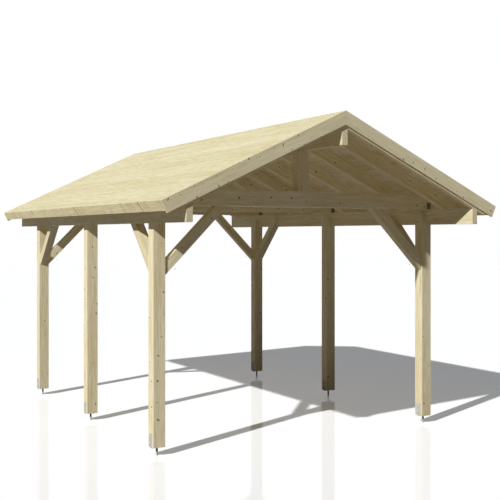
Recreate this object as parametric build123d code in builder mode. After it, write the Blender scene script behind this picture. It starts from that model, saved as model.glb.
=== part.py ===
"""Open timber carport with a ridged roof on six posts.

X runs left to right, Y from the front to the rear and Z up. The origin is on the
floor, in the middle of the plan. All lengths are in millimetres.
"""

import os
from math import cos, radians, sin, tan

from build123d import *

# Post grid and heights
post_spacing = 3140.0
bay_length = 1862.0
headroom = 2155.0
ground_gap = 80.0

# Posts and king posts
post_section = 120.0
arris = 1.5
cheek_height = 100.0

# Post holders of flat steel with a welded rod
flange_width = 60.0
flange_height = 130.0
holder_plate = 5.0
rod_diameter = 20.0

# Purlins, on edge
purlin_thickness = 60.0
purlin_height = 168.0
purlin_overhang = 785.0

# Tie beams and braces
tie_height = 160.0
tie_thickness = 120.0
tie_end_clearance = 12.0
brace_depth = 90.0
brace_thickness = 90.0
brace_rise = 489.0
brace_angle = 45.0

# Angle brackets between the tie beams and the purlins
bracket_width = 50.0
bracket_leg = 70.0
bracket_plate = 3.0

# Roof
roof_pitch = 25.0
rafter_depth = 120.0
rafter_thickness = 60.0
rafters_per_bay = 3
board_thickness = 20.0
eaves_reach = 238.0
fascia_width = 100.0
fascia_thickness = 20.0
barge_width = 120.0
barge_thickness = 20.0

# Places worked out from the sizes above
slope = tan(radians(roof_pitch))
upright = cos(radians(roof_pitch))
sideways = sin(radians(roof_pitch))
post_x = post_spacing / 2
purlin_outer_x = post_x + post_section / 2
purlin_inner_x = purlin_outer_x - purlin_thickness
purlin_end_y = bay_length + purlin_overhang
seat_z = headroom + purlin_height
cheek_top_z = headroom + cheek_height
tie_top_z = seat_z + tie_height
apex_z = seat_z + purlin_inner_x * slope
ridge_purlin_z = apex_z - purlin_height
ridge_z = apex_z + (rafter_depth + board_thickness) / upright
eaves_x = purlin_outer_x + eaves_reach
rafter_spacing = bay_length / rafters_per_bay
brace_foot_z = headroom - brace_rise
brace_plumb = brace_depth / cos(radians(brace_angle))
brace_mid_z = brace_foot_z + brace_plumb / 2
brace_stock = (seat_z - brace_foot_z + brace_plumb) / sin(radians(brace_angle))

row_places = {"front": -bay_length, "middle": 0.0, "rear": bay_length}
sides = {"left": -1, "right": 1}


def roof_point(distance: float, depth: float) -> tuple[float, float]:
    """A point of the right slope: distance in from the eaves edge along it, depth below its top."""
    x = eaves_x - distance * upright - depth * sideways
    z = ridge_z - eaves_x * slope + distance * sideways - depth * upright
    return (x, z)


def ridge_point(depth: float) -> tuple[float, float]:
    """The point over the middle of the plan that lies depth below the top of the slope."""
    return (0, ridge_z - depth / upright)


def slope_outline(eaves_gap: float, top: float, bottom: float) -> list[tuple[float, float]]:
    """Outline of a layer of the right slope, from the plumb cut at the ridge to the square cut."""
    return [
        ridge_point(bottom),
        roof_point(eaves_gap, bottom),
        roof_point(eaves_gap, top),
        ridge_point(top),
    ]


def finish(piece: BuildPart, name: str) -> None:
    """Name a finished piece and write it out."""
    piece.part.label = name
    export_step(piece.part, f"parts/{name}.step")


os.makedirs("parts", exist_ok=True)

# Posts: the outer side of the head is cut back to seat the purlin, the inner side stands as a cheek
for row, row_y in row_places.items():
    for side, sign in sides.items():
        with BuildPart() as post:
            with BuildSketch(Plane.XY.offset(ground_gap)):
                with Locations((sign * post_x, row_y)):
                    Rectangle(post_section, post_section)
                chamfer(vertices(), arris)
            extrude(amount=cheek_top_z - ground_gap)
            with BuildSketch(Plane.XY.offset(headroom)):
                with Locations((sign * (purlin_inner_x + purlin_thickness / 2), row_y)):
                    Rectangle(purlin_thickness, post_section)
            extrude(amount=cheek_height, mode=Mode.SUBTRACT)
        finish(post, f"{row}_{side}_post")

# Post holders: a bent strap under each post and a rod that stands on the floor
for row, row_y in row_places.items():
    for side, sign in sides.items():
        strap_width = post_section + 2 * holder_plate
        strap_height = flange_height + holder_plate
        with BuildPart() as holder:
            with BuildSketch(Plane.XZ.offset(-row_y)):
                with Locations((sign * post_x, ground_gap - holder_plate + strap_height / 2)):
                    Rectangle(strap_width, strap_height)
                with Locations((sign * post_x, ground_gap + flange_height / 2)):
                    Rectangle(post_section, flange_height, mode=Mode.SUBTRACT)
            extrude(amount=flange_width / 2, both=True)
            with BuildSketch(Plane.XY):
                with Locations((sign * post_x, row_y)):
                    Circle(rod_diameter / 2)
            extrude(amount=ground_gap - holder_plate)
        finish(holder, f"{row}_{side}_post_holder")

# Eaves purlins: bevelled on top to carry the rafters
for side, sign in sides.items():
    with BuildPart() as eaves_purlin:
        with BuildSketch(Plane.XZ):
            with BuildLine():
                Polyline(
                    (sign * purlin_inner_x, headroom),
                    (sign * purlin_outer_x, headroom),
                    (sign * purlin_outer_x, seat_z - purlin_thickness * slope),
                    (sign * purlin_inner_x, seat_z),
                    close=True,
                )
            make_face()
        extrude(amount=purlin_end_y, both=True)
        chamfer(edges().filter_by(Axis.Y).group_by(Axis.Z)[0], arris)
    finish(eaves_purlin, f"{side}_eaves_purlin")

# Ridge purlin: bevelled to both slopes
with BuildPart() as ridge_purlin:
    with BuildSketch(Plane.XZ):
        with BuildLine():
            Polyline(
                (-purlin_thickness / 2, ridge_purlin_z),
                (purlin_thickness / 2, ridge_purlin_z),
                (purlin_thickness / 2, apex_z - purlin_thickness / 2 * slope),
                (0, apex_z),
                (-purlin_thickness / 2, apex_z - purlin_thickness / 2 * slope),
                close=True,
            )
        make_face()
    extrude(amount=purlin_end_y, both=True)
    chamfer(edges().filter_by(Axis.Y).group_by(Axis.Z)[0], arris)
finish(ridge_purlin, "ridge_purlin")

# Tie beams: their ends sit on the bevelled purlins and are cut back under the boards
tie_cut_z = ridge_z - (board_thickness + tie_end_clearance) / upright
for row, row_y in row_places.items():
    with BuildPart() as tie_beam:
        with BuildSketch(Plane.XZ.offset(-row_y)):
            with BuildLine():
                Polyline(
                    (0, seat_z),
                    (purlin_inner_x, seat_z),
                    (purlin_outer_x, seat_z - purlin_thickness * slope),
                    (purlin_outer_x, tie_cut_z - purlin_outer_x * slope),
                    ((tie_cut_z - tie_top_z) / slope, tie_top_z),
                    (0, tie_top_z),
                    close=True,
                )
            make_face()
            mirror(about=Plane.YZ)
        extrude(amount=tie_thickness / 2, both=True)
        chamfer(edges().filter_by(Axis.X), arris)
    finish(tie_beam, f"{row}_tie_beam")

# King posts: between the tie beams and the ridge purlin
for row, row_y in row_places.items():
    with BuildPart() as king_post:
        with BuildSketch(Plane.XY.offset(tie_top_z)):
            with Locations((0, row_y)):
                Rectangle(post_section, post_section)
            chamfer(vertices(), arris)
        extrude(amount=ridge_purlin_z - tie_top_z)
    finish(king_post, f"{row}_king_post")

# Cross braces: square timbers from the corner posts to the front and rear tie beams
# Long braces: the same timbers up to the purlins, each notched so that a cheek rises beside the purlin
brace_lean = cos(radians(brace_angle))
brace_climb = sin(radians(brace_angle))
end_rows = {"front": 1, "rear": -1}
for row, inward in end_rows.items():
    row_y = row_places[row]
    for side, sign in sides.items():
        post_face_x = sign * (post_x - post_section / 2)
        with BuildPart() as cross_brace:
            with BuildSketch(
                Plane(
                    origin=(post_face_x, row_y, brace_mid_z),
                    x_dir=(0, 1, 0),
                    z_dir=(-sign * brace_lean, 0, brace_climb),
                )
            ):
                Rectangle(brace_thickness, brace_depth)
                chamfer(vertices(), arris)
            extrude(amount=brace_stock, both=True)
            split(bisect_by=Plane(origin=(post_face_x, 0, 0), z_dir=(-sign, 0, 0)), keep=Keep.TOP)
            split(bisect_by=Plane.XY.offset(seat_z), keep=Keep.BOTTOM)
        finish(cross_brace, f"{row}_{side}_cross_brace")

        post_face_y = row_y + inward * post_section / 2
        with BuildPart() as long_brace:
            with BuildSketch(
                Plane(
                    origin=(sign * post_x, post_face_y, brace_mid_z),
                    x_dir=(1, 0, 0),
                    z_dir=(0, inward * brace_lean, brace_climb),
                )
            ):
                Rectangle(brace_thickness, brace_depth)
                chamfer(vertices(), arris)
            extrude(amount=brace_stock, both=True)
            split(bisect_by=Plane(origin=(0, post_face_y, 0), z_dir=(0, inward, 0)), keep=Keep.TOP)
            split(bisect_by=Plane.XY.offset(cheek_top_z), keep=Keep.BOTTOM)
            with BuildSketch(Plane.XY.offset(headroom)):
                with Locations((sign * (purlin_inner_x + purlin_thickness / 2), 0)):
                    Rectangle(purlin_thickness, 2 * purlin_end_y)
            extrude(amount=purlin_height, mode=Mode.SUBTRACT)
        finish(long_brace, f"{row}_{side}_long_brace")

# Angle brackets: one leg upright on the side of the tie beam, the other bent to the bevel of the purlin
bracket_inner_x = purlin_inner_x + (purlin_thickness - bracket_width) / 2
bracket_outer_x = bracket_inner_x + bracket_width
bracket_inner_z = apex_z - bracket_inner_x * slope
bracket_outer_z = apex_z - bracket_outer_x * slope
bracket_top_z = bracket_inner_z + bracket_leg
bracket_skin = bracket_plate / upright
upright_leg = [
    (bracket_inner_x, bracket_inner_z),
    (bracket_outer_x, bracket_outer_z),
    (bracket_outer_x, bracket_top_z),
    (bracket_inner_x, bracket_top_z),
]
bevelled_leg = [
    (bracket_inner_x, bracket_inner_z),
    (bracket_outer_x, bracket_outer_z),
    (bracket_outer_x, bracket_outer_z + bracket_skin),
    (bracket_inner_x, bracket_inner_z + bracket_skin),
]
for row, row_y in row_places.items():
    with BuildPart() as brackets:
        for sign in sides.values():
            for face in (-1, 1):
                tie_side = Plane.XZ.offset(-row_y - face * tie_thickness / 2)
                for leg, reach in ((upright_leg, bracket_plate), (bevelled_leg, bracket_leg)):
                    with BuildSketch(tie_side):
                        with BuildLine():
                            Polyline(*[(sign * x, z) for x, z in leg], close=True)
                        make_face()
                    extrude(amount=-face * reach)
    finish(brackets, f"{row}_tie_brackets")

# Rafters: spaced evenly about the tie beams, with a pair flush with each end of the purlins
# Their tails are cut level with the lower edge of the fascia
inner_rafters = [(place + 0.5) * rafter_spacing for place in range(-rafters_per_bay - 1, rafters_per_bay + 1)]
verge_rafter_y = purlin_end_y - rafter_thickness / 2
rafter_places = [-verge_rafter_y, *inner_rafters, verge_rafter_y]
rafter_bottom = board_thickness + rafter_depth
tail_x, tail_z = roof_point(fascia_thickness, fascia_width)
tail_toe_x = (ridge_point(rafter_bottom)[1] - tail_z) / slope
rafter_outline = [
    ridge_point(rafter_bottom),
    (tail_toe_x, tail_z),
    (tail_x, tail_z),
    roof_point(fascia_thickness, board_thickness),
    ridge_point(board_thickness),
]
for side, sign in sides.items():
    with BuildPart() as rafters:
        for place in rafter_places:
            with BuildSketch(Plane.XZ.offset(-place)):
                with BuildLine():
                    Polyline(*[(sign * x, z) for x, z in rafter_outline], close=True)
                make_face()
            extrude(amount=rafter_thickness / 2, both=True)
        down_slope = Axis((0, 0, 0), (upright, 0, -sign * sideways))
        chamfer(edges().filter_by(down_slope).group_by(SortBy.LENGTH)[0], arris)
    finish(rafters, f"{side}_rafters")

# Roof boarding and fascias: each slope, as long as the purlins
for side, sign in sides.items():
    with BuildPart() as roof_boarding:
        with BuildSketch(Plane.XZ):
            with BuildLine():
                outline = slope_outline(fascia_thickness, 0, board_thickness)
                Polyline(*[(sign * x, z) for x, z in outline], close=True)
            make_face()
        extrude(amount=purlin_end_y, both=True)
    finish(roof_boarding, f"{side}_roof_boarding")

    with BuildPart() as fascia:
        with BuildSketch(Plane.XZ):
            with BuildLine():
                outline = [
                    roof_point(0, 0),
                    roof_point(fascia_thickness, 0),
                    roof_point(fascia_thickness, fascia_width),
                    roof_point(0, fascia_width),
                ]
                Polyline(*[(sign * x, z) for x, z in outline], close=True)
            make_face()
        extrude(amount=purlin_end_y, both=True)
    finish(fascia, f"{side}_fascia")

# Barge boards: on the verges, mitred at the ridge and flush with the roof
for row, inward in end_rows.items():
    for side, sign in sides.items():
        with BuildPart() as barge_board:
            with BuildSketch(Plane.XZ.offset(inward * purlin_end_y)):
                with BuildLine():
                    outline = slope_outline(0, 0, barge_width)
                    Polyline(*[(sign * x, z) for x, z in outline], close=True)
                make_face()
            extrude(amount=inward * barge_thickness)
        finish(barge_board, f"{row}_{side}_barge_board")
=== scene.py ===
"""Dresses the timber carport in bare spruce and galvanised steel, on a pale floor in low sunlight.

Everything is in metres in the frame of the solids: X to the right, Y to the rear and Z up.
"""

import logging
import math
import random
from dataclasses import dataclass, field
from enum import Enum
from typing import Any, Callable

import bmesh
import bpy
from mathutils import Euler, Matrix, Vector

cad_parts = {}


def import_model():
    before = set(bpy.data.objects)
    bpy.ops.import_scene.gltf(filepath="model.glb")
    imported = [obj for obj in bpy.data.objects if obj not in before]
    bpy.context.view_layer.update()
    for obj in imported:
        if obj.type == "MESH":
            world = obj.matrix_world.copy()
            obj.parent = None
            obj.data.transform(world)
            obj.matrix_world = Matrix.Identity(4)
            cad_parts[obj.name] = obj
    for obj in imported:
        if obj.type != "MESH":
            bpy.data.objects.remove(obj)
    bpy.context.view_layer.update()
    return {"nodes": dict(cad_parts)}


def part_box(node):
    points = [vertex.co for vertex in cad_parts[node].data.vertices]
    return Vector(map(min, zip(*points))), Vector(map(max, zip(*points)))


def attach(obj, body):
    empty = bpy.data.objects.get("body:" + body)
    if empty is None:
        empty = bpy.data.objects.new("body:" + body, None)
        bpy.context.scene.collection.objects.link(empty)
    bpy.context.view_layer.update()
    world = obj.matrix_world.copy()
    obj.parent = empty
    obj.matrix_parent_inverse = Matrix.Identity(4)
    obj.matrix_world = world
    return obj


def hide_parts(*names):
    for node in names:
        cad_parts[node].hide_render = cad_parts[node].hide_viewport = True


LOG = logging.getLogger("carport")
BODY = "root"
TIMBER_LAYER = "timber"
MM = 0.001
ROOF_PITCH = math.radians(25.0)
BRACE_ANGLE = math.radians(45.0)
TRUNK_LENGTH = 9.0
UPRIGHT = Vector((0.0, 0.0, 1.0))
LENGTHWISE = Vector((0.0, 1.0, 0.0))
CROSSWISE = Vector((1.0, 0.0, 0.0))
LEVEL = CROSSWISE + LENGTHWISE

Nodes = dict[str, bpy.types.Object]
Tree = bpy.types.NodeTree
Feed = bpy.types.Node | bpy.types.NodeSocket
Span = tuple[float, float]
Outline = list[tuple[float, float]]
Place = Callable[[float, float, float], Vector]


class Labelled(Enum):
    """Options whose words are in the names of nodes and pieces."""

    @property
    def label(self) -> str:
        """The option's word."""
        return self.name.lower()


class Side(Labelled):
    """The two long sides, as the sign of X."""

    LEFT = -1
    RIGHT = 1


class Row(Labelled):
    """The three rows of posts, as the sign of Y."""

    FRONT = -1
    MIDDLE = 0
    REAR = 1


class Slot(Enum):
    """The record's material slots; no added piece is given one here."""

    ROOF = "roof_boards"
    SAWN = "sawn_boards"
    STEEL = "galvanised_steel"


END_ROWS = (Row.FRONT, Row.REAR)


def linear(hex_colour: str, shade: float = 1.0) -> tuple[float, float, float, float]:
    """Turns an sRGB hex colour into linear light, by the numbers of that standard.

    Args:
        hex_colour: A colour such as "#F0E6C0".
        shade: How much of that light is kept.

    Returns:
        Red, green, blue and a full alpha.
    """
    channels = [int(hex_colour[start : start + 2], 16) / 255 for start in (1, 3, 5)]
    light = [c / 12.92 if c <= 0.04045 else ((c + 0.055) / 1.055) ** 2.4 for c in channels]
    return (shade * light[0], shade * light[1], shade * light[2], 1.0)


def add_node(
    tree: Tree,
    kind: str,
    settings: dict[str | int, Any] | None = None,
    links: dict[str | int, Feed] | None = None,
) -> bpy.types.Node:
    """Adds one node with its settings and links.

    Args:
        tree: The tree that takes the node.
        kind: Blender's name for the node, without its "ShaderNode" beginning.
        settings: Input sockets by number or capitalised name, other keys by property name, and
            "stops" as (place, colour) pairs of a colour ramp.
        links: Input sockets and what feeds them, where a node stands for its first output in use.

    Returns:
        The new node.
    """
    node = tree.nodes.new("ShaderNode" + kind)
    for key, value in (settings or {}).items():
        if key == "stops":
            elements = node.color_ramp.elements
            elements.remove(elements[1])
            elements[0].position, elements[0].color = value[0]
            for place, colour in value[1:]:
                elements.new(place).color = colour
        elif isinstance(key, int) or key[0].isupper():
            node.inputs[key].default_value = value
        else:
            setattr(node, key, value)
    for key, feed in (links or {}).items():
        if isinstance(feed, bpy.types.Node):
            feed = next(output for output in feed.outputs if output.enabled)
        tree.links.new(feed, node.inputs[key])
    return node


def start_material(name: str) -> tuple[bpy.types.Material, Tree]:
    """Makes a material with no node in it.

    Args:
        name: The material's name.

    Returns:
        The material and its node tree.
    """
    material = bpy.data.materials.new(name)
    material.use_nodes = True
    material.node_tree.nodes.clear()
    return material, material.node_tree


def finish_material(
    tree: Tree, colour: Feed, height: Feed, roughness: Span, relief_mm: float, settings: dict[str, float]
) -> None:
    """Adds the surface shader, which is smoother where the surface lies lower.

    Args:
        tree: The material's node tree.
        colour: The surface's colour.
        height: The surface's height, from 0 to 1.
        roughness: The roughness at height 0 and at height 1.
        relief_mm: The depth of the relief.
        settings: The shader's sockets that are the same all over the surface.
    """
    low, high = roughness
    rough = add_node(tree, "MapRange", {"To Min": low, "To Max": high}, {"Value": height})
    bump = add_node(tree, "Bump", {"Distance": relief_mm * MM}, {"Height": height})
    feeds = {"Base Color": colour, "Roughness": rough, "Normal": bump}
    shader = add_node(tree, "BsdfPrincipled", settings, feeds)
    add_node(tree, "OutputMaterial", links={"Surface": shader})


def dress(nodes: Nodes, name: str, material: bpy.types.Material) -> None:
    """Gives a solid of the frame its finish.

    Args:
        nodes: The frame's solids by name.
        name: The solid to dress.
        material: Its finish.
    """
    mesh = nodes[name].data
    mesh.materials.clear()
    mesh.materials.append(material)
    LOG.info("dressed %s", name)


def add_piece(
    name: str, bm: bmesh.types.BMesh, material: bpy.types.Material
) -> bpy.types.Object:
    """Turns a finished mesh into a piece that rides on the carport.

    Args:
        name: The piece's name.
        bm: The mesh, which is freed.
        material: The piece's finish.

    Returns:
        The new object.
    """
    bmesh.ops.recalc_face_normals(bm, faces=bm.faces)
    mesh = bpy.data.meshes.new(name)
    bm.to_mesh(mesh)
    bm.free()
    mesh.materials.append(material)
    piece = bpy.data.objects.new(name, mesh)
    bpy.context.scene.collection.objects.link(piece)
    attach(piece, BODY)
    LOG.info("built %s with %d faces", name, len(mesh.polygons))
    return piece


@dataclass(frozen=True)
class Lie:
    """How a length of stock lies, with its place across, through and along kept in its mesh."""

    direction: Vector

    def coordinates(self, tree: Tree) -> Feed:
        """Gives the place in the tree trunk, in metres, heart at X = Y = 0 and fibres along Z."""
        return add_node(tree, "Attribute", {"attribute_name": TIMBER_LAYER}).outputs["Vector"]

    def chance(self, tree: Tree) -> Feed | None:
        """Gives each board of a piece a number of its own, from 0 to 1."""
        return add_node(tree, "NewGeometry").outputs["Random Per Island"]


@dataclass(frozen=True)
class PlacedLie(Lie):
    """How a solid of the frame lies: its fibres, its middle and where the heart of the tree was."""

    centre: Vector
    seed: int
    spacing: float = 0.0
    heart_mm: float = 70.0
    lean: float = math.radians(0.7)
    step_along: float = 3.3

    def coordinates(self, tree: Tree) -> Feed:
        """Gives the place in the tree trunk, in metres, heart at X = Y = 0 and fibres along Z.

        Args:
            tree: The material's node tree.

        Returns:
            What feeds that place.
        """
        dice = random.Random(self.seed)
        lean = Euler((dice.uniform(-self.lean, self.lean), dice.uniform(-self.lean, self.lean), 0.0))
        turn = lean.to_quaternion() @ self.direction.rotation_difference(UPRIGHT)
        bearing = dice.uniform(0.0, math.tau)
        heart = Vector((math.cos(bearing), math.sin(bearing), 0.0)) * self.heart_mm * MM
        heart.z = dice.uniform(0.0, TRUNK_LENGTH)
        cut = {"Rotation": turn.to_euler("XYZ"), "Location": heart - turn @ self.centre}
        place = add_node(tree, "TexCoord").outputs["Object"]
        if not self.spacing:
            return add_node(tree, "Mapping", cut, {"Vector": place})
        brought, along = self._each_its_own(tree, place)
        trunk = add_node(tree, "Mapping", cut, {"Vector": brought})
        return add_node(tree, "VectorMath", {"operation": "ADD"}, {0: trunk, 1: along})

    def chance(self, tree: Tree) -> Feed | None:
        """Gives nothing, because a solid of the frame has one tone."""
        return None

    def _each_its_own(self, tree: Tree, place: Feed) -> tuple[Feed, Feed]:
        """Brings like timbers in a row onto one place and gives each its own stretch of the trunk.

        Args:
            tree: The material's node tree.
            place: The place in the frame.

        Returns:
            The place as on the middle timber, and the step along the trunk.
        """
        parts = add_node(tree, "SeparateXYZ", links={"Vector": place}).outputs
        cell = add_node(tree, "Math", {"operation": "SNAP", 1: self.spacing}, {0: parts["Y"]})
        across = add_node(tree, "Math", {"operation": "SUBTRACT"}, {0: parts["Y"], 1: cell})
        middle = add_node(tree, "Math", {"operation": "SUBTRACT", 1: self.spacing / 2}, {0: across})
        brought = add_node(tree, "CombineXYZ", links={"X": parts["X"], "Y": middle, "Z": parts["Z"]})
        step = add_node(tree, "Math", {"operation": "MULTIPLY", 1: self.step_along}, {0: cell})
        return brought, add_node(tree, "CombineXYZ", links={"Z": step})


@dataclass(frozen=True)
class Strands:
    """A change of tone drawn out along the fibres, and how many finer changes it holds."""

    width_mm: float
    length_mm: float
    detail: float

    def draw(self, tree: Tree, timber: Feed) -> bpy.types.Node:
        """Draws the strands.

        Args:
            tree: The material's node tree.
            timber: The place in the trunk.

        Returns:
            The noise that gives their tone.
        """
        pull = Vector((1 / self.width_mm, 1 / self.width_mm, 1 / self.length_mm)) / MM
        pulled = add_node(tree, "VectorMath", {"operation": "MULTIPLY", 1: pull}, {0: timber})
        return add_node(tree, "TexNoise", {"Scale": 1.0, "Detail": self.detail}, {"Vector": pulled})


@dataclass(frozen=True)
class Spruce:
    """Kiln-dried spruce with no oil or stain on it.

    The eye gets a cream ground, warmer latewood lines along the fibres, small brown knots that push
    the lines aside, hardly darker sawn ends and a dull, faintly furrowed surface.
    """

    label: str
    earlywood: str = "#F5EECF"
    latewood: str = "#D4C08C"
    knot_heart: str = "#957651"
    knot_rim: str = "#73593D"
    knot_halo: str = "#F6EDD2"
    end_shade: str = "#FDFCFA"
    weather_shade: str = ""
    saw_shade: str = ""
    # Growth rings are 2 to 4 mm apart and fibres far finer, so both are drawn coarser, to show far off.
    band_mm: float = 24.0
    band_detail: float = 4.0
    band_roughness: float = 0.65
    streaks: Strands = Strands(26.0, 600.0, 3.0)
    streak_share: float = 0.45
    fibres: Strands = Strands(9.0, 160.0, 1.0)
    fibre_share: float = 0.45
    wander: Strands = Strands(300.0, 1400.0, 2.0)
    wander_share: float = 0.2
    wander_mm: float = 16.0
    tone_range: Span = (0.38, 0.65)
    board_tone: float = 0.5
    knot_mm: float = 11.0
    knot_spacing_mm: float = 165.0
    knot_share: float = 0.42
    # Shares of a knot's size: the smallest and largest knot, then the heart, rim, halo and its outer edge
    knot_size_shares: Span = (0.35, 1.2)
    knot_ring_shares: tuple[float, float, float, float] = (0.6, 0.9, 1.14, 2.4)
    halo_cover: float = 0.45
    knot_oval: float = 0.75
    knot_slope: float = -0.8
    knot_wobble_mm: float = 11.0
    face_steps: tuple[float, float, float] = (0.37, 0.61, 0.83)
    swirl_mm: float = 9.0
    swirl_reach: float = 4.0
    saw_mark_mm: float = 0.0
    saw_slant: float = math.radians(32.0)
    saw_detail: float = 2.0
    saw_roughness: float = 0.7
    stroke_range: Span = (0.55, 0.64)
    strokes_in_group: float = 14.0
    group_range: Span = (0.42, 0.62)
    upper_face: float = 0.5
    end_range: Span = (0.6, 0.68)
    relief_mm: float = 0.25
    roughness: Span = (0.56, 0.74)
    specular: float = 0.25
    ior: float = 1.5

    def material(self, name: str, lie: Lie, shade: float = 1.0) -> bpy.types.Material:
        """Makes the finish for one length of timber.

        Args:
            name: The name of the piece that takes it.
            lie: How the timber lies.
            shade: How light this length is beside the others.

        Returns:
            The material.
        """
        material, tree = start_material(f"{self.label}_{name}")
        timber = lie.coordinates(tree)
        knot_colour, knot_cover, swirl = self._knots(tree, timber)
        tone, height = self._figure(tree, timber, swirl)
        chance = lie.chance(tree)
        if chance:
            reach = {"To Min": -self.board_tone / 2, "To Max": self.board_tone / 2}
            lean = add_node(tree, "MapRange", reach, {"Value": chance})
            tone = add_node(tree, "Math", {"operation": "ADD"}, {0: tone, 1: lean})
        stops = ((0.0, linear(self.earlywood, shade)), (1.0, linear(self.latewood, shade)))
        ground = add_node(tree, "ValToRGB", {"stops": stops}, {"Fac": tone})
        feeds = {0: knot_cover, 6: ground, 7: knot_colour}
        colour = add_node(tree, "Mix", {"data_type": "RGBA"}, feeds)
        stains_and_painted_light = [(self.end_shade, self._sawn_ends(tree, lie))]
        # Painted light: the upper faces take a cooler, greyer tint than the darker, warmer undersides.
        if self.weather_shade:
            stains_and_painted_light.append((self.weather_shade, self._upper_faces(tree)))
        if self.saw_mark_mm:
            marks = self._saw_marks(tree, timber)
            stains_and_painted_light.append((self.saw_shade, marks))
            height = add_node(tree, "Math", {"operation": "SUBTRACT"}, {0: height, 1: marks})
        for tint_colour, cover in stains_and_painted_light:
            tinting = {"data_type": "RGBA", "blend_type": "MULTIPLY", 7: linear(tint_colour)}
            colour = add_node(tree, "Mix", tinting, {0: cover, 6: colour})
        even = {"Specular IOR Level": self.specular, "IOR": self.ior}
        finish_material(tree, colour, height, self.roughness, self.relief_mm, even)
        return material

    def _knots(self, tree: Tree, timber: Feed) -> tuple[Feed, Feed, Feed]:
        """Lays knots on the faces, by the distance round the timber and the place along it.

        Args:
            tree: The material's node tree.
            timber: The place in the trunk.

        Returns:
            The knots' colour, their cover, and how far they push the rings aside.
        """
        bark = self._bark(tree, timber)
        spread = {"voronoi_dimensions": "2D", "Scale": 1 / (self.knot_spacing_mm * MM)}
        cells = add_node(tree, "TexVoronoi", spread, {"Vector": bark})
        chance = add_node(tree, "SeparateColor", links={"Color": cells.outputs["Color"]}).outputs
        some = {"operation": "LESS_THAN", 1: self.knot_share}
        there = add_node(tree, "Math", some, {0: chance["Red"]})
        usual = self.knot_mm / self.knot_spacing_mm
        smallest, largest = self.knot_size_shares
        sizes = {"To Min": smallest * usual, "To Max": largest * usual}
        girth = add_node(tree, "MapRange", sizes, {"Value": chance["Green"]})
        away = add_node(tree, "Math", {"operation": "DIVIDE"}, {0: cells, 1: girth})
        heart, rim, halo, faded = (share / self.swirl_reach for share in self.knot_ring_shares)
        pale = linear(self.knot_halo)[:3]
        stops = (
            (heart, linear(self.knot_heart)),
            (rim, linear(self.knot_rim)),
            (halo, (*pale, self.halo_cover)),
            (faded, (*pale, 0.0)),
        )
        outward = add_node(tree, "Math", {"operation": "DIVIDE", 1: self.swirl_reach}, {0: away})
        knot = add_node(tree, "ValToRGB", {"stops": stops}, {"Fac": outward})
        cover = add_node(tree, "Math", {"operation": "MULTIPLY"}, {0: knot.outputs["Alpha"], 1: there})
        fade = {
            "interpolation_type": "SMOOTHSTEP",
            "From Min": 1.0,
            "From Max": 0.0,
            "To Max": self.swirl_mm * MM,
        }
        push = add_node(tree, "MapRange", fade, {"Value": outward})
        swirl = add_node(tree, "Math", {"operation": "MULTIPLY"}, {0: push, 1: there})
        return knot, cover, swirl

    def _bark(self, tree: Tree, timber: Feed) -> Feed:
        """Unrolls the faces into a sheet, a little uneven, on which the knots lie.

        Args:
            tree: The material's node tree.
            timber: The place in the trunk.

        Returns:
            The place on that sheet.
        """
        parts = add_node(tree, "SeparateXYZ", links={"Vector": timber}).outputs
        # One of X and Y is the same all over a face, so their sum measures across that face.
        around = add_node(tree, "Math", {"operation": "ADD"}, {0: parts["X"], 1: parts["Y"]})
        # Each face takes its knots from a stretch of its own, or they would mirror at the corners.
        normal = add_node(tree, "NewGeometry").outputs["True Normal"]
        turned = {"operation": "DOT_PRODUCT", 1: self.face_steps}
        stretch = add_node(tree, "VectorMath", turned, {0: normal})
        moved = add_node(tree, "Math", {"operation": "ADD"}, {0: parts["Z"], 1: stretch})
        along = add_node(tree, "Math", {"operation": "DIVIDE", 1: self.knot_oval}, {0: moved})
        # A branch grows up and away from the heart, so its knot slopes the same way.
        aside = add_node(tree, "Math", {"operation": "ABSOLUTE"}, {0: around})
        slope = {"operation": "MULTIPLY_ADD", 1: self.knot_slope}
        sloped = add_node(tree, "Math", slope, {0: aside, 2: along})
        sheet = add_node(tree, "CombineXYZ", links={"X": around, "Y": sloped})
        ripple = {"noise_dimensions": "2D", "Scale": 1 / (2 * self.knot_wobble_mm * MM), "Detail": 1.0}
        wobble = add_node(tree, "TexNoise", ripple, {"Vector": sheet}).outputs["Color"]
        bend = {"operation": "MULTIPLY_ADD", 1: LEVEL * self.knot_wobble_mm * MM}
        return add_node(tree, "VectorMath", bend, {0: wobble, 2: sheet})

    def _figure(self, tree: Tree, timber: Feed, swirl: Feed) -> tuple[Feed, Feed]:
        """Draws the ring bands, the streaks and the fibres.

        Args:
            tree: The material's node tree.
            timber: The place in the trunk.
            swirl: How far knots push the rings aside.

        Returns:
            How much latewood shows, and the height of the surface.
        """
        drift = self.wander.draw(tree, timber)
        bend = {"operation": "MULTIPLY_ADD", 1: LEVEL * self.wander_mm * MM}
        grown = add_node(tree, "VectorMath", bend, {0: drift.outputs["Color"], 2: timber})
        level = add_node(tree, "VectorMath", {"operation": "MULTIPLY", 1: LEVEL}, {0: grown})
        radius = add_node(tree, "VectorMath", {"operation": "LENGTH"}, {0: level})
        pushed = add_node(tree, "Math", {"operation": "ADD"}, {0: radius, 1: swirl})
        rings = {
            "noise_dimensions": "1D",
            "Scale": 1 / (self.band_mm * MM),
            "Detail": self.band_detail,
            "Roughness": self.band_roughness,
        }
        tone = add_node(tree, "TexNoise", rings, {"W": pushed})
        fibres = self.fibres.draw(tree, grown)
        layers = (
            (self.streak_share, self.streaks.draw(tree, grown)),
            (self.fibre_share, fibres),
            (self.wander_share, drift),
        )
        for share, layer in layers:
            tone = add_node(tree, "Mix", {"data_type": "FLOAT", 0: share}, {2: tone, 3: layer})
        low, high = self.tone_range
        return add_node(tree, "MapRange", {"From Min": low, "From Max": high}, {"Value": tone}), fibres

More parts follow.
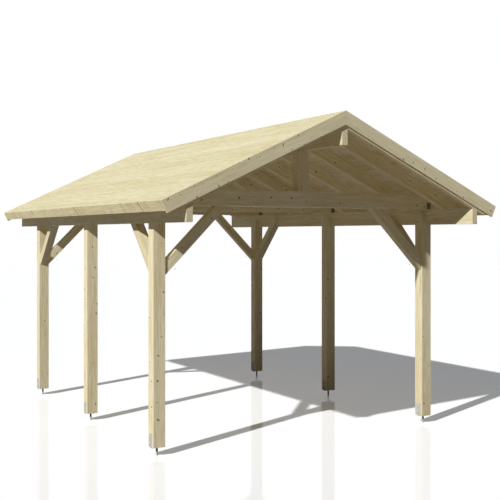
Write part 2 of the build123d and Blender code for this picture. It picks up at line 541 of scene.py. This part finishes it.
    def _saw_marks(self, tree: Tree, timber: Feed) -> Feed:
        """Draws the slanting strokes that a band saw leaves, in loose groups.

        Args:
            tree: The material's node tree.
            timber: The place in the trunk.

        Returns:
            How deep a stroke is.
        """
        slant = Vector((math.sin(self.saw_slant), 0.0, math.cos(self.saw_slant)))
        feed = add_node(tree, "VectorMath", {"operation": "DOT_PRODUCT", 1: slant}, {0: timber})
        teeth = {
            "noise_dimensions": "1D",
            "Scale": 1 / (self.saw_mark_mm * MM),
            "Detail": self.saw_detail,
            "Roughness": self.saw_roughness,
        }
        strokes = add_node(tree, "TexNoise", teeth, {"W": feed})
        stretch = self.strokes_in_group * self.saw_mark_mm * MM
        groups = add_node(tree, "TexNoise", {"Scale": 1 / stretch}, {"Vector": timber})
        heavy, here = (
            add_node(tree, "MapRange", {"From Min": low, "From Max": high}, {"Value": noise})
            for (low, high), noise in ((self.stroke_range, strokes), (self.group_range, groups))
        )
        return add_node(tree, "Math", {"operation": "MULTIPLY"}, {0: heavy, 1: here})

    def _upper_faces(self, tree: Tree) -> Feed:
        """Finds the faces that look up, which take the painted light tint.

        Args:
            tree: The material's node tree.

        Returns:
            One on a face that looks up and nothing on the others.
        """
        normal = add_node(tree, "NewGeometry").outputs["True Normal"]
        rise = add_node(tree, "SeparateXYZ", links={"Vector": normal}).outputs["Z"]
        return add_node(tree, "Math", {"operation": "GREATER_THAN", 1: self.upper_face}, {0: rise})

    def _sawn_ends(self, tree: Tree, lie: Lie) -> Feed:
        """Finds the faces that cut across the fibres.

        Args:
            tree: The material's node tree.
            lie: How the timber lies.

        Returns:
            One on a sawn end and nothing along the timber.
        """
        normal = add_node(tree, "NewGeometry").outputs["True Normal"]
        along = add_node(tree, "VectorMath", {"operation": "DOT_PRODUCT", 1: lie.direction}, {0: normal})
        turned = add_node(tree, "Math", {"operation": "ABSOLUTE"}, {0: along})
        low, high = self.end_range
        return add_node(tree, "MapRange", {"From Min": low, "From Max": high}, {"Value": turned})


@dataclass(frozen=True)
class GalvanisedSteel:
    """Steel dipped in molten zinc, which the weather has coated with a thin grey patina.

    The eye gets a pale, nearly matt grey broken into crystals of slightly different brightness, and
    little of the metal's shine. The upper half of each rod is darkened as painted shadow of the post.
    """

    label: str = "hot_dip_galvanised_steel"
    bright: str = "#CACECD"
    dull: str = "#B2B7B6"
    tone_range: Span = (0.2, 0.8)
    # Painted shadow: the rods are darkened between these heights above the floor, where the post shades
    # them
    weld_shade: str = "#8A8987"
    painted_shadow_mm: Span | None = None
    spangle_mm: float = 11.0
    bloom_mm: float = 45.0
    bloom_detail: float = 4.0
    bloom_share: float = 0.5
    metallic: float = 0.0
    specular: float = 0.2
    roughness: Span = (0.6, 0.78)
    relief_mm: float = 0.08

    def material(self, name: str) -> bpy.types.Material:
        """Makes the finish.

        Args:
            name: The name of the pieces that take it.

        Returns:
            The material.
        """
        material, tree = start_material(f"{self.label}_{name}")
        place = add_node(tree, "TexCoord").outputs["Object"]
        crystals = add_node(tree, "TexVoronoi", {"Scale": 1 / (self.spangle_mm * MM)}, {"Vector": place})
        chance = add_node(tree, "SeparateColor", links={"Color": crystals.outputs["Color"]}).outputs
        patches = {"Scale": 1 / (self.bloom_mm * MM), "Detail": self.bloom_detail}
        bloom = add_node(tree, "TexNoise", patches, {"Vector": place})
        share = {"data_type": "FLOAT", 0: self.bloom_share}
        tone = add_node(tree, "Mix", share, {2: chance["Red"], 3: bloom})
        stops = tuple(zip(self.tone_range, (linear(self.dull), linear(self.bright))))
        colour = add_node(tree, "ValToRGB", {"stops": stops}, {"Fac": tone})
        # Painted shadow: darkens the colour between two heights, where the post's shadow falls on the rod
        if self.painted_shadow_mm:
            low, high = self.painted_shadow_mm
            height = add_node(tree, "SeparateXYZ", links={"Vector": place}).outputs["Z"]
            band = {"operation": "COMPARE", 1: (low + high) / 2 * MM, 2: (high - low) / 2 * MM}
            in_painted_shadow = add_node(tree, "Math", band, {0: height})
            shadow_paint = {"data_type": "RGBA", "blend_type": "MULTIPLY", 7: linear(self.weld_shade)}
            colour = add_node(tree, "Mix", shadow_paint, {0: in_painted_shadow, 6: colour})
        even = {"Metallic": self.metallic, "Specular IOR Level": self.specular}
        finish_material(tree, colour, tone, self.roughness, self.relief_mm, even)
        return material


# Planed posts, beams and rafters: cream faces with a knot here and there
PLANED = Spruce("planed_spruce")
# Planed roof boards: narrow streaks, few knots; undersides painted darker and warmer as shade, tops cooler
# as painted light
ROOFING = Spruce(
    "planed_spruce_boards",
    earlywood="#F2E7C4",
    latewood="#D1BA85",
    weather_shade="#F1F8F7",
    tone_range=(0.4, 0.62),
    band_mm=11.0,
    streaks=Strands(14.0, 450.0, 3.0),
    knot_mm=6.5,
    knot_spacing_mm=260.0,
    board_tone=0.25,
)
# Fine-sawn fascias: dull faces with slanting dark strokes. A band saw's strokes are a few millimetres
# apart, so they are drawn coarser here, to show far off.
FINE_SAWN = Spruce(
    "fine_sawn_spruce",
    earlywood="#F5F0D0",
    latewood="#DECE9A",
    saw_shade="#999078",
    saw_mark_mm=25.0,
    relief_mm=0.5,
    roughness=(0.62, 0.82),
)
# Planed barge boards: a quiet, pale grain with many soft brown knots
BARGE = Spruce(
    "planed_spruce_verge",
    earlywood="#F2ECCE",
    latewood="#D8CAA0",
    tone_range=(0.36, 0.68),
    knot_heart="#AE9168",
    knot_rim="#8A7150",
    knot_mm=13.0,
    knot_spacing_mm=104.0,
    knot_share=0.5,
    relief_mm=0.3,
)
# Dipped holders: pale grey, with the rods painted darker between these heights as the post's shadow
GALVANISED = GalvanisedSteel(painted_shadow_mm=(36.0, 75.0))
# Thin sheet that the weather has dulled: a darker, warmer grey
DULL_SHEET = GalvanisedSteel(
    "dulled_galvanised_sheet", bright="#908A80", dull="#726C62", roughness=(0.55, 0.75)
)
# Plated screws and nails: a finely mottled grey with a soft glint
ZINC_PLATED = GalvanisedSteel(
    "zinc_plated_steel",
    bright="#B4B6B0",
    dull="#8E908A",
    spangle_mm=3.0,
    bloom_mm=6.0,
    metallic=0.5,
    specular=0.5,
    roughness=(0.34, 0.56),
    relief_mm=0.02,
)


def add_fasteners(name: str, bm: bmesh.types.BMesh) -> None:
    """Turns a mesh of screws or nails into a zinc-plated piece."""
    add_piece(name, bm, ZINC_PLATED.material(name))


@dataclass(frozen=True)
class Head:
    """A fastener's head, turned about its axis from (radius, height) rings in millimetres."""

    rings: tuple[tuple[float, float], ...]
    sides: int = 12
    lobes: float = 0.0
    socket_rings: int = 2

    def add(self, bm: bmesh.types.BMesh, place: Matrix) -> None:
        """Adds one closed head to a mesh.

        Args:
            bm: The mesh.
            place: Where the head sits, with its axis along local Z.
        """
        loops = []
        for number, (radius, height) in enumerate(self.rings):
            star = self.lobes if number >= len(self.rings) - self.socket_rings else 0.0
            loop = []
            for step in range(self.sides):
                bearing = math.tau * step / self.sides
                reach = radius * (1.0 - star * (step % 2))
                local = Vector((reach * math.cos(bearing), reach * math.sin(bearing), height)) * MM
                loop.append(bm.verts.new(place @ local))
            loops.append(loop)
        for below, above in zip(loops, loops[1:]):
            for step in range(self.sides):
                following = (step + 1) % self.sides
                bm.faces.new((below[step], below[following], above[following], above[step]))
        bm.faces.new(loops[0][::-1])
        bm.faces.new(loops[-1])


# Flat heads with a six-lobed socket, round nail heads, and coach screws on washers
FLAT_HEAD = Head(((4.0, -1.5), (5.0, 0.0), (4.8, 0.25), (2.6, 0.25), (2.3, -1.2)), lobes=0.22)
FLANGE_HEAD = Head(((7.0, -1.0), (7.0, 0.6), (6.0, 1.9), (2.9, 2.4), (2.5, 0.4)), lobes=0.22)
NAIL_HEAD = Head(((3.0, -1.0), (3.6, 0.0), (3.4, 0.4), (2.2, 0.55)), sides=8)
WASHER = Head(((15.0, -0.5), (15.0, 1.8), (14.2, 2.4)), sides=20)
COACH_HEAD = Head(((9.2, 1.5), (9.2, 7.6), (8.2, 8.6)), sides=6)


def facing(point: Vector, outward: Vector, dice: random.Random | None = None) -> Matrix:
    """Gives the place of a head on a face.

    Args:
        point: The middle of the head on the face.
        outward: The direction away from the face.
        dice: Chooses how far the driver turned it, where that shows.

    Returns:
        The matrix whose local Z points away from the face.
    """
    spin = dice.uniform(0.0, math.tau) if dice else 0.0
    turn = outward.to_track_quat("Z", "Y").to_matrix().to_4x4()
    return Matrix.Translation(point) @ turn @ Matrix.Rotation(spin, 4, "Z")


def rounded_outline(width: float, thickness: float, radius: float, steps: int = 3) -> Outline:
    """Gives the section of a board with eased edges.

    Args:
        width: The board's width.
        thickness: Its thickness.
        radius: The rounding of its edges.
        steps: How many facets round an edge.

    Returns:
        The (across, through) points round the section.
    """
    outline = []
    corners = ((width, thickness), (0.0, thickness), (0.0, 0.0), (width, 0.0))
    for quarter, (corner_x, corner_y) in enumerate(corners):
        middle_x = min(max(corner_x, radius), width - radius)
        middle_y = min(max(corner_y, radius), thickness - radius)
        for step in range(steps + 1):
            bearing = math.pi / 2 * (quarter + step / steps)
            outline.append((middle_x + radius * math.cos(bearing), middle_y + radius * math.sin(bearing)))
    return outline


@dataclass(frozen=True)
class Board:
    """One board: its section, how far it runs, the cut at its start and how near the heart it lay."""

    outline: Outline
    start: float
    end: float
    mitre: float = 0.0
    heart_across: Span = (-50 * MM, 50 * MM)
    heart_below: Span = (30 * MM, 100 * MM)

    def add(self, bm: bmesh.types.BMesh, place: Place, dice: random.Random) -> None:
        """Adds the closed board to a mesh and notes where in a trunk it was cut.

        Args:
            bm: The mesh, with the timber layer.
            place: Turns across, through and along into the frame.
            dice: Chooses the stretch of trunk.
        """
        layer = bm.verts.layers.float_vector[TIMBER_LAYER]
        middle = sum(across for across, _ in self.outline) / len(self.outline)
        spans = (self.heart_across, self.heart_below, (0.0, TRUNK_LENGTH))
        heart = Vector([dice.uniform(low, high) for low, high in spans])
        rings = []
        for end in (self.start, self.end):
            ring = []
            for across, through in self.outline:
                along = end + self.mitre * across if end == self.start else end
                vertex = bm.verts.new(place(across, through, along))
                vertex[layer] = Vector((across - middle, through, along)) + heart
                ring.append(vertex)
            rings.append(ring)
        near, far = rings
        count = len(self.outline)
        for step in range(count):
            following = (step + 1) % count
            bm.faces.new((near[step], near[following], far[following], far[step]))
        bm.faces.new(near[::-1])
        bm.faces.new(far)


def board_mesh() -> bmesh.types.BMesh:
    """Starts a mesh of boards with the layer that holds their place in the trunk.

    Returns:
        The empty mesh.
    """
    bm = bmesh.new()
    bm.verts.layers.float_vector.new(TIMBER_LAYER)
    return bm


def middle_of(node: str) -> Vector:
    """Gives the middle of a solid's box."""
    low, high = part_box(node)
    return (low + high) / 2


@dataclass
class Posts:
    """The six posts in their steel holders."""

    nodes: Nodes
    shades: Span = (0.94, 1.06)
    screw_drops: Span = (32 * MM, 98 * MM)
    plate_bottom: float = 75 * MM
    rod_radius: float = 10 * MM
    bead_radius: float = 3.5 * MM
    bead_steps: int = 28
    bead_sides: int = 8
    ripples: int = 9
    ripple_share: float = 0.12
    seed: int = 899

    def build(self) -> None:
        """Dresses posts and holders, and adds coach screws and weld beads."""
        steel = GALVANISED.material("holders")
        screws = bmesh.new()
        beads = bmesh.new()
        dice = random.Random(self.seed)
        for number, (row, side) in enumerate((row, side) for row in Row for side in Side):
            post = f"{row.label}_{side.label}_post"
            lie = PlacedLie(UPRIGHT, middle_of(post), self.seed + number)
            dress(self.nodes, post, PLANED.material(post, lie, dice.uniform(*self.shades)))
            holder = f"{post}_holder"
            dress(self.nodes, holder, steel)
            self._add_screws(screws, holder, dice)
            self._add_bead(beads, middle_of(holder))
        add_piece("holder_coach_screws", screws, GALVANISED.material("coach_screws"))
        add_piece("holder_weld_beads", beads, GALVANISED.material("weld_beads"))

    def _add_screws(self, bm: bmesh.types.BMesh, holder: str, dice: random.Random) -> None:
        """Adds the coach screws on both flanges of a holder.

        Args:
            bm: The mesh of all coach screws.
            holder: The holder's node.
            dice: Turns each head.
        """
        low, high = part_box(holder)
        for face_x, outward in ((low.x, -CROSSWISE), (high.x, CROSSWISE)):
            for drop in self.screw_drops:
                place = facing(Vector((face_x, (low.y + high.y) / 2, high.z - drop)), outward, dice)
                WASHER.add(bm, place)
                COACH_HEAD.add(bm, place)

    def _add_bead(self, bm: bmesh.types.BMesh, middle: Vector) -> None:
        """Adds the rippled weld between a rod and its plate.

        Args:
            bm: The mesh of all beads.
            middle: The middle of the holder, in line with the rod.
        """
        loops = []
        for step in range(self.bead_steps):
            bearing = math.tau * step / self.bead_steps
            thick = self.bead_radius * (1.0 + self.ripple_share * math.sin(self.ripples * bearing))
            spoke = Vector((math.cos(bearing), math.sin(bearing), 0.0))
            loop = []
            for side in range(self.bead_sides):
                roll = math.tau * side / self.bead_sides
                reach = self.rod_radius + thick * math.cos(roll)
                height = self.plate_bottom + thick * math.sin(roll)
                loop.append(bm.verts.new(spoke * reach + Vector((middle.x, middle.y, height))))
            loops.append(loop)
        for loop, following in zip(loops, [*loops[1:], loops[0]]):
            for side in range(self.bead_sides):
                beside = (side + 1) % self.bead_sides
                bm.faces.new((loop[side], following[side], following[beside], loop[beside]))


@dataclass
class Frame:
    """The purlins, tie beams, king posts and braces."""

    nodes: Nodes
    shades: Span = (0.9, 0.99)
    eaves_painted_shade: float = 0.95
    brace_half: float = 45 * MM
    brace_screw_inset: float = 85 * MM
    purlin_screw_spread: float = 32 * MM
    purlin_screw_rise: Span = (35 * MM, 80 * MM)
    seed: int = 101

    def build(self) -> None:
        """Dresses the timbers and adds their screws."""
        dice = random.Random(self.seed)
        screws = bmesh.new()
        for number, (name, direction) in enumerate(self._timbers()):
            lie = PlacedLie(direction, middle_of(name), self.seed + number)
            shade = dice.uniform(*self.shades)
            # Painted shade: the eaves purlins are darkened all over, for the shade on their outer faces
            # under the overhang.
            if name.endswith("eaves_purlin"):
                shade *= self.eaves_painted_shade
            dress(self.nodes, name, PLANED.material(name, lie, shade))
            if name.endswith("brace"):
                self._screw_brace(screws, name, direction, dice)
        for side in Side:
            self._screw_purlin(screws, side, dice)
        add_fasteners("frame_screws", screws)

    def _timbers(self) -> list[tuple[str, Vector]]:
        """Lists the timbers in the order in which they are dressed.

        Returns:
            Each timber's node and the direction of its fibres.
        """
        timbers = [("ridge_purlin", LENGTHWISE)]
        timbers += [(f"{side.label}_eaves_purlin", LENGTHWISE) for side in Side]
        for row in Row:
            timbers += [(f"{row.label}_tie_beam", CROSSWISE), (f"{row.label}_king_post", UPRIGHT)]
        climb = math.sin(BRACE_ANGLE)
        run = math.cos(BRACE_ANGLE)
        for row in END_ROWS:
            for side in Side:
                inward_x = Vector((-side.value * run, 0.0, climb))
                inward_y = Vector((0.0, -row.value * run, climb))
                timbers.append((f"{row.label}_{side.label}_cross_brace", inward_x))
                timbers.append((f"{row.label}_{side.label}_long_brace", inward_y))
        return timbers

    def _screw_brace(
        self, bm: bmesh.types.BMesh, name: str, direction: Vector, dice: random.Random
    ) -> None:
        """Adds a screw above and below, near both ends of a brace.

        Args:
            bm: The mesh of all frame screws.
            name: The brace's node.
            direction: The direction that it climbs.
            dice: Turns each head.
        """
        low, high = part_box(name)
        middle = (low + high) / 2
        level = Vector((direction.x, direction.y, 0.0)).normalized()
        upward = (UPRIGHT * math.cos(BRACE_ANGLE) - level * math.sin(BRACE_ANGLE)).normalized()
        half = (high.z - low.z) / 2 / math.sin(BRACE_ANGLE) - self.brace_half
        for end in (-1, 1):
            for outward in (upward, -upward):
                along = direction * end * (half - self.brace_screw_inset)
                point = middle + along + outward * self.brace_half
                FLANGE_HEAD.add(bm, facing(point, outward, dice))

    def _screw_purlin(self, bm: bmesh.types.BMesh, side: Side, dice: random.Random) -> None:
        """Adds the screws that hold an eaves purlin to its posts.

        Args:
            bm: The mesh of all frame screws.
            side: The purlin's side.
            dice: Turns each head.
        """
        low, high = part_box(f"{side.label}_eaves_purlin")
        outer_x = high.x if side is Side.RIGHT else low.x
        for row in Row:
            post = middle_of(f"{row.label}_{side.label}_post")
            for spread, rise in zip((-1, 1), self.purlin_screw_rise):
                point = Vector((outer_x, post.y + spread * self.purlin_screw_spread, low.z + rise))
                FLANGE_HEAD.add(bm, facing(point, CROSSWISE * side.value, dice))


@dataclass
class TieBrackets:
    """The steel angles beside the tie beams, with their screws."""

    nodes: Nodes
    tie_half: float = 60 * MM
    plate: float = 3 * MM
    screw_drops: Span = (18 * MM, 46 * MM)
    screw_reaches: Span = (25 * MM, 52 * MM)
    screw_spread: float = 13 * MM
    seed: int = 301

    def build(self) -> None:
        """Dresses the brackets and adds their screws."""
        steel = DULL_SHEET.material("brackets")
        dice = random.Random(self.seed)
        screws = bmesh.new()
        for row in Row:
            dress(self.nodes, f"{row.label}_tie_brackets", steel)
            for side in Side:
                for face in (-1, 1):
                    self._screw_bracket(screws, row, side, face, dice)
        add_fasteners("bracket_screws", screws)

    def _screw_bracket(
        self, bm: bmesh.types.BMesh, row: Row, side: Side, face: int, dice: random.Random
    ) -> None:
        """Adds the screws in both legs of one bracket.

        Args:
            bm: The mesh of all bracket screws.
            row: The tie beam's row.
            side: The purlin's side.
            face: The side of the tie beam, as the sign of Y.
            dice: Turns each head.
        """
        low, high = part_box(f"{side.label}_eaves_purlin")
        fall = side.value * math.tan(ROOF_PITCH)
        seat = (low + high) / 2
        seat.z = high.z - (high.x - low.x) / 2 * math.tan(ROOF_PITCH)
        tie_y = middle_of(f"{row.label}_tie_beam").y
        top_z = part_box(f"{row.label}_tie_brackets")[1].z
        normal = Vector((side.value * math.sin(ROOF_PITCH), 0.0, math.cos(ROOF_PITCH)))
        for spread in (-self.screw_spread, self.screw_spread):
            across = seat.x + spread
            for drop in self.screw_drops:
                point = Vector((across, tie_y + face * (self.tie_half + self.plate), top_z - drop))
                FLAT_HEAD.add(bm, facing(point, LENGTHWISE * face, dice))
            for reach in self.screw_reaches:
                point = Vector((across, tie_y + face * (self.tie_half + reach), seat.z - fall * spread))
                FLAT_HEAD.add(bm, facing(point + normal * self.plate, normal, dice))


@dataclass
class RoofSlope:
    """One slope of the roof: rafters, tongued boards with their nails, the fascia and barge boards."""

    nodes: Nodes
    side: Side
    first_seed: int = 500
    rafter_thickness: float = 60 * MM
    rafters_per_bay: int = 3
    rafter_shade: float = 1.07
    board_count: int = 17
    thickness: float = 20 * MM
    joint: float = 1.4 * MM
    eased: float = 1.6 * MM
    vee: float = 5 * MM
    tongue: float = 6 * MM
    tongue_thickness: float = 5.4 * MM
    groove_slack: float = 0.4 * MM
    nail_inset: float = 26 * MM
    nail_jitter: float = 7 * MM
    fascia_width: float = 100 * MM
    barge_width: float = 120 * MM
    edge_radius: float = 1.0 * MM
    screw_room: float = 0.5 * MM
    screw_edge: float = 28 * MM
    barge_screw_first: float = 160 * MM
    barge_screw_step: float = 455 * MM
    ridge_z: float = field(init=False)
    reach: float = field(init=False)
    half_length: float = field(init=False)
    bay: float = field(init=False)

    def __post_init__(self) -> None:
        """Reads the slope's size from the frame."""
        low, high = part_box(f"{self.side.label}_roof_boarding")
        self.ridge_z = high.z
        self.reach = max(high.x, -low.x) / math.cos(ROOF_PITCH)
        self.half_length = high.y
        self.bay = middle_of("rear_left_post").y

    @property
    def seed(self) -> int:
        """The slope's own seed."""
        return self.first_seed + self.side.value

    @property
    def up_slope(self) -> Vector:
        """The direction from the eaves to the ridge."""
        return Vector((-self.side.value * math.cos(ROOF_PITCH), 0.0, math.sin(ROOF_PITCH)))

    @property
    def outward(self) -> Vector:
        """The direction away from the roof's upper face."""
        return Vector((self.side.value * math.sin(ROOF_PITCH), 0.0, math.cos(ROOF_PITCH)))

    @property
    def rafter_spacing(self) -> float:
        """The distance from one inner rafter to the next."""
        return self.bay / self.rafters_per_bay

    def point(self, down: float, depth: float, along: float) -> Vector:
        """Gives a point of the roof.

        Args:
            down: Distance down the slope from the ridge.
            depth: Distance below the upper face.
            along: The place along the ridge.

        Returns:
            The point in the frame.
        """
        return Vector((0.0, along, self.ridge_z)) - self.up_slope * down - self.outward * depth

    def rafter_places(self) -> list[float]:
        """Works out where the rafters stand.

        Returns:
            The middle of each rafter along the ridge.
        """
        steps = range(-self.rafters_per_bay - 1, self.rafters_per_bay + 1)
        verge = self.half_length - self.rafter_thickness / 2
        return [-verge, *((step + 0.5) * self.rafter_spacing for step in steps), verge]

    def build(self) -> None:
        """Dresses the rafters and builds all that lies on them."""
        dice = random.Random(self.seed)
        self._dress_rafters()
        self._build_boards(dice)
        self._build_nails(dice)
        self._build_fascia(dice)
        for row in END_ROWS:
            self._build_barge(row, dice)

    def _dress_rafters(self) -> None:
        """Gives the rafters their finish, each from its own stretch of trunk."""
        name = f"{self.side.label}_rafters"
        lie = PlacedLie(self.up_slope, middle_of(name), self.seed, spacing=self.rafter_spacing)
        # Painted light: the rafters are made lighter than the boards, against the shade between them.
        dress(self.nodes, name, PLANED.material(name, lie, self.rafter_shade))

    def _board_outline(self, number: int) -> Outline:
        """Gives the section of one roof board, counted from the ridge.

        Args:
            number: Which board.

        Returns:
            The (down, depth) points round the section.
        """
        cover = self.reach / self.board_count
        gap = self.joint / 2
        upper = number * cover + gap
        lower = (number + 1) * cover - gap
        thick = self.thickness
        tongue_top = (thick - self.tongue_thickness) / 2
        tongue_bottom = thick - tongue_top
        slack = self.groove_slack
        if number == 0:
            plumb = thick * math.tan(ROOF_PITCH)
            outline = [(gap + plumb, thick), (gap, 0.0)]
        else:
            outline = [
                (upper + self.vee, thick),
                (upper, thick - self.vee),
                (upper, tongue_bottom),
                (upper - self.tongue, tongue_bottom),
                (upper - self.tongue, tongue_top),
                (upper, tongue_top),
                (upper, self.eased),
                (upper + self.eased, 0.0),
            ]
        if number == self.board_count - 1:
            return [*outline, (self.reach, 0.0), (self.reach, thick)]
        deep = lower - self.tongue - slack
        return [
            *outline,
            (lower - self.eased, 0.0),
            (lower, self.eased),
            (lower, tongue_top - slack),
            (deep, tongue_top - slack),
            (deep, tongue_bottom + slack),
            (lower, tongue_bottom + slack),
            (lower, thick - self.vee),
            (lower - self.vee, thick),
        ]

    def _build_boards(self, dice: random.Random) -> None:
        """Builds the tongued and grooved boards that stand for the boarding.

        Args:
            dice: Chooses each board's stretch of trunk.
        """
        bm = board_mesh()
        for number in range(self.board_count):
            board = Board(self._board_outline(number), -self.half_length, self.half_length)
            board.add(bm, self.point, dice)
        name = f"{self.side.label}_roof_boards"
        piece = add_piece(name, bm, ROOFING.material(name, Lie(LENGTHWISE)))
        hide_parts(f"{self.side.label}_roof_boarding")

    def _build_nails(self, dice: random.Random) -> None:
        """Builds two nails for each board on each rafter.

        Args:
            dice: Sets each nail a little off its line.
        """
        bm = bmesh.new()
        cover = self.reach / self.board_count
        for number in range(self.board_count):
            for rafter in self.rafter_places():
                for down in (number * cover + self.nail_inset, (number + 1) * cover - self.nail_inset):
                    stray = [dice.uniform(-self.nail_jitter, self.nail_jitter) for _ in range(2)]
                    point = self.point(down + stray[0], 0.0, rafter + stray[1])
                    NAIL_HEAD.add(bm, facing(point, self.outward))
        add_fasteners(f"{self.side.label}_board_nails", bm)

    def _build_fascia(self, dice: random.Random) -> None:
        """Builds the fascia across the rafter feet, with two screws at each rafter.

        Args:
            dice: Chooses the stretch of trunk and turns the heads.
        """
        section = rounded_outline(self.fascia_width, self.thickness - self.screw_room, self.edge_radius)
        bm = board_mesh()
        board = Board(section, -self.half_length, self.half_length)
        board.add(bm, lambda across, through, along: self.point(self.reach + through, across, along), dice)
        name = f"{self.side.label}_fascia"
        piece = add_piece(f"{name}_board", bm, FINE_SAWN.material(name, Lie(LENGTHWISE)))
        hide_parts(name)
        screws = bmesh.new()
        face = self.reach + self.thickness - self.screw_room
        for rafter in self.rafter_places():
            for depth in (self.screw_edge, self.fascia_width - self.screw_edge):
                point = self.point(face, depth, rafter)
                FLAT_HEAD.add(screws, facing(point, -self.up_slope, dice))
        add_fasteners(f"{name}_screws", screws)

    def _build_barge(self, row: Row, dice: random.Random) -> None:
        """Builds a barge board, cut plumb at the ridge, with pairs of screws.

        Args:
            row: The gable that it closes.
            dice: Chooses the stretch of trunk and turns the heads.
        """
        name = f"{row.label}_{self.side.label}_barge_board"
        low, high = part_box(name)
        end = max(high.x, -low.x) / math.cos(ROOF_PITCH)
        section = rounded_outline(self.barge_width, self.thickness - self.screw_room, self.edge_radius)
        bm = board_mesh()
        board = Board(section, self.screw_room / 2, end, math.tan(ROOF_PITCH))
        board.add(
            bm,
            lambda across, through, along: self.point(
                along, across, row.value * (self.half_length + through)
            ),
            dice,
        )
        piece = add_piece(f"{name}_planed", bm, BARGE.material(name, Lie(self.up_slope)))
        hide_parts(name)
        screws = bmesh.new()
        face_y = row.value * (self.half_length + self.thickness - self.screw_room)
        down = self.barge_screw_first
        while down < self.reach:
            for depth in (self.screw_edge, self.barge_width - self.screw_edge):
                point = self.point(down, depth, face_y)
                FLAT_HEAD.add(screws, facing(point, LENGTHWISE * row.value, dice))
            down += self.barge_screw_step
        add_fasteners(f"{name}_screws", screws)


@dataclass
class Studio:
    """A white floor in low sunlight, with a weak fill from behind and an even, dim sky."""

    sun_travel: Vector = Vector((1.0, 0.468, -0.775))
    sun_strength: float = 3.7
    sun_angle: float = math.radians(1.0)
    fill_travel: Vector = Vector((-0.65, -0.5, -0.25))
    fill_strength: float = 0.45
    fill_angle: float = math.radians(40.0)
    sky_light: float = 0.055
    sky_tint: str = "#FFF6EF"
    floor_half: float = 60.0
    floor_shown: str = "#FFFFFF"
    floor_bounce: str = "#8B8682"
    floor_gain: float = 1.05
    floor_lift: float = 0.055
    lift_tint: str = "#E0F0FF"
    floor_polish: str = "#68696B"
    floor_roughness: float = 0.05

    def build(self) -> None:
        """Sets the world, the lamps and the floor."""
        bpy.context.scene.view_settings.view_transform = "Standard"
        self._light_sky()
        self._hang_lamp("sun", self.sun_travel, self.sun_strength, self.sun_angle)
        fill = self._hang_lamp("fill", self.fill_travel, self.fill_strength, self.fill_angle)
        # The fill stands for light from all round, so it casts no shadow and doesn't glare on the floor.
        fill.data.use_shadow = False
        fill.visible_glossy = False
        self._lay_floor()

    def _hang_lamp(self, name: str, travel: Vector, strength: float, angle: float) -> bpy.types.Object:
        """Adds a lamp with parallel light.

        Args:
            name: The lamp's name.
            travel: The direction in which its light travels.
            strength: Its strength.
            angle: How wide it looks from the carport.

        Returns:
            The lamp.
        """
        lamp = bpy.data.lights.new(name, "SUN")
        lamp.energy = strength
        lamp.angle = angle
        stand = bpy.data.objects.new(name, lamp)
        stand.rotation_euler = travel.to_track_quat("-Z", "Y").to_euler()
        bpy.context.scene.collection.objects.link(stand)
        return stand

    def _seen(self, tree: Tree) -> Feed:
        """Tells rays that show a surface from rays that only gather light.

        Args:
            tree: The node tree.

        Returns:
            One for rays that show the surface.
        """
        path = add_node(tree, "LightPath").outputs
        mirrored = {0: path["Is Glossy Ray"], 1: path["Is Transmission Ray"]}
        through = add_node(tree, "Math", {"operation": "MAXIMUM"}, mirrored)
        return add_node(tree, "Math", {"operation": "MAXIMUM"}, {0: path["Is Camera Ray"], 1: through})

    def _light_sky(self) -> None:
        """Makes a sky that looks white and lights softly."""
        world = bpy.data.worlds.new("studio")
        bpy.context.scene.world = world
        world.use_nodes = True
        tree = world.node_tree
        tree.nodes.clear()
        soft = add_node(tree, "Background", {"Color": linear(self.sky_tint), "Strength": self.sky_light})
        white = add_node(tree, "Background", {"Color": linear(self.floor_shown), "Strength": 1.0})
        both = add_node(tree, "MixShader", links={0: self._seen(tree), 1: soft, 2: white})
        add_node(tree, "OutputWorld", links={"Surface": both})

    def _lay_floor(self) -> None:
        """Lays a white floor that keeps the shadow, with a faint polish."""
        bm = bmesh.new()
        bmesh.ops.create_grid(bm, x_segments=1, y_segments=1, size=self.floor_half)
        mesh = bpy.data.meshes.new("floor")
        bm.to_mesh(mesh)
        bm.free()
        floor = bpy.data.objects.new("floor", mesh)
        bpy.context.scene.collection.objects.link(floor)
        material, tree = start_material("white_floor")
        matt = add_node(tree, "BsdfDiffuse", {"Color": linear(self.floor_shown, self.floor_gain)})
        lift = add_node(tree, "Emission", {"Color": linear(self.lift_tint), "Strength": self.floor_lift})
        lit = add_node(tree, "AddShader", links={0: matt, 1: lift})
        shine = {"Color": linear(self.floor_polish), "Roughness": self.floor_roughness}
        shown = add_node(tree, "AddShader", links={0: lit, 1: add_node(tree, "BsdfGlossy", shine)})
        bounce = add_node(tree, "BsdfDiffuse", {"Color": linear(self.floor_bounce)})
        both = add_node(tree, "MixShader", links={0: self._seen(tree), 1: bounce, 2: shown})
        add_node(tree, "OutputMaterial", links={"Surface": both})
        mesh.materials.append(material)


@dataclass
class PhotoCamera:
    """The level camera of the photograph, placed by the posts' edges in it."""

    place: Vector = Vector((-4.942, -9.812, 2.053))
    heading: float = math.radians(28.736)
    image_px: float = 500.0
    focal_px: float = 925.0
    horizon_px: float = 234.1
    sensor_mm: float = 36.0

    def build(self) -> None:
        """Sets the scene's camera."""
        data = bpy.data.cameras.new("photo_camera")
        data.sensor_width = self.sensor_mm
        data.lens = self.sensor_mm * self.focal_px / self.image_px
        data.shift_y = self.horizon_px / self.image_px - 0.5
        camera = bpy.data.objects.new("photo_camera", data)
        camera.location = self.place
        camera.rotation_euler = (math.pi / 2, 0.0, -self.heading)
        bpy.context.scene.collection.objects.link(camera)
        bpy.context.scene.camera = camera


def main() -> None:
    """Loads the frame and builds each sub-assembly, the studio and the camera."""
    logging.basicConfig(level=logging.INFO, format="%(name)s: %(message)s")
    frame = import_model()
    nodes = frame["nodes"]
    Posts(nodes).build()
    Frame(nodes).build()
    TieBrackets(nodes).build()
    for side in Side:
        RoofSlope(nodes, side).build()
    Studio().build()
    PhotoCamera().build()


if __name__ == "__main__":
    main()
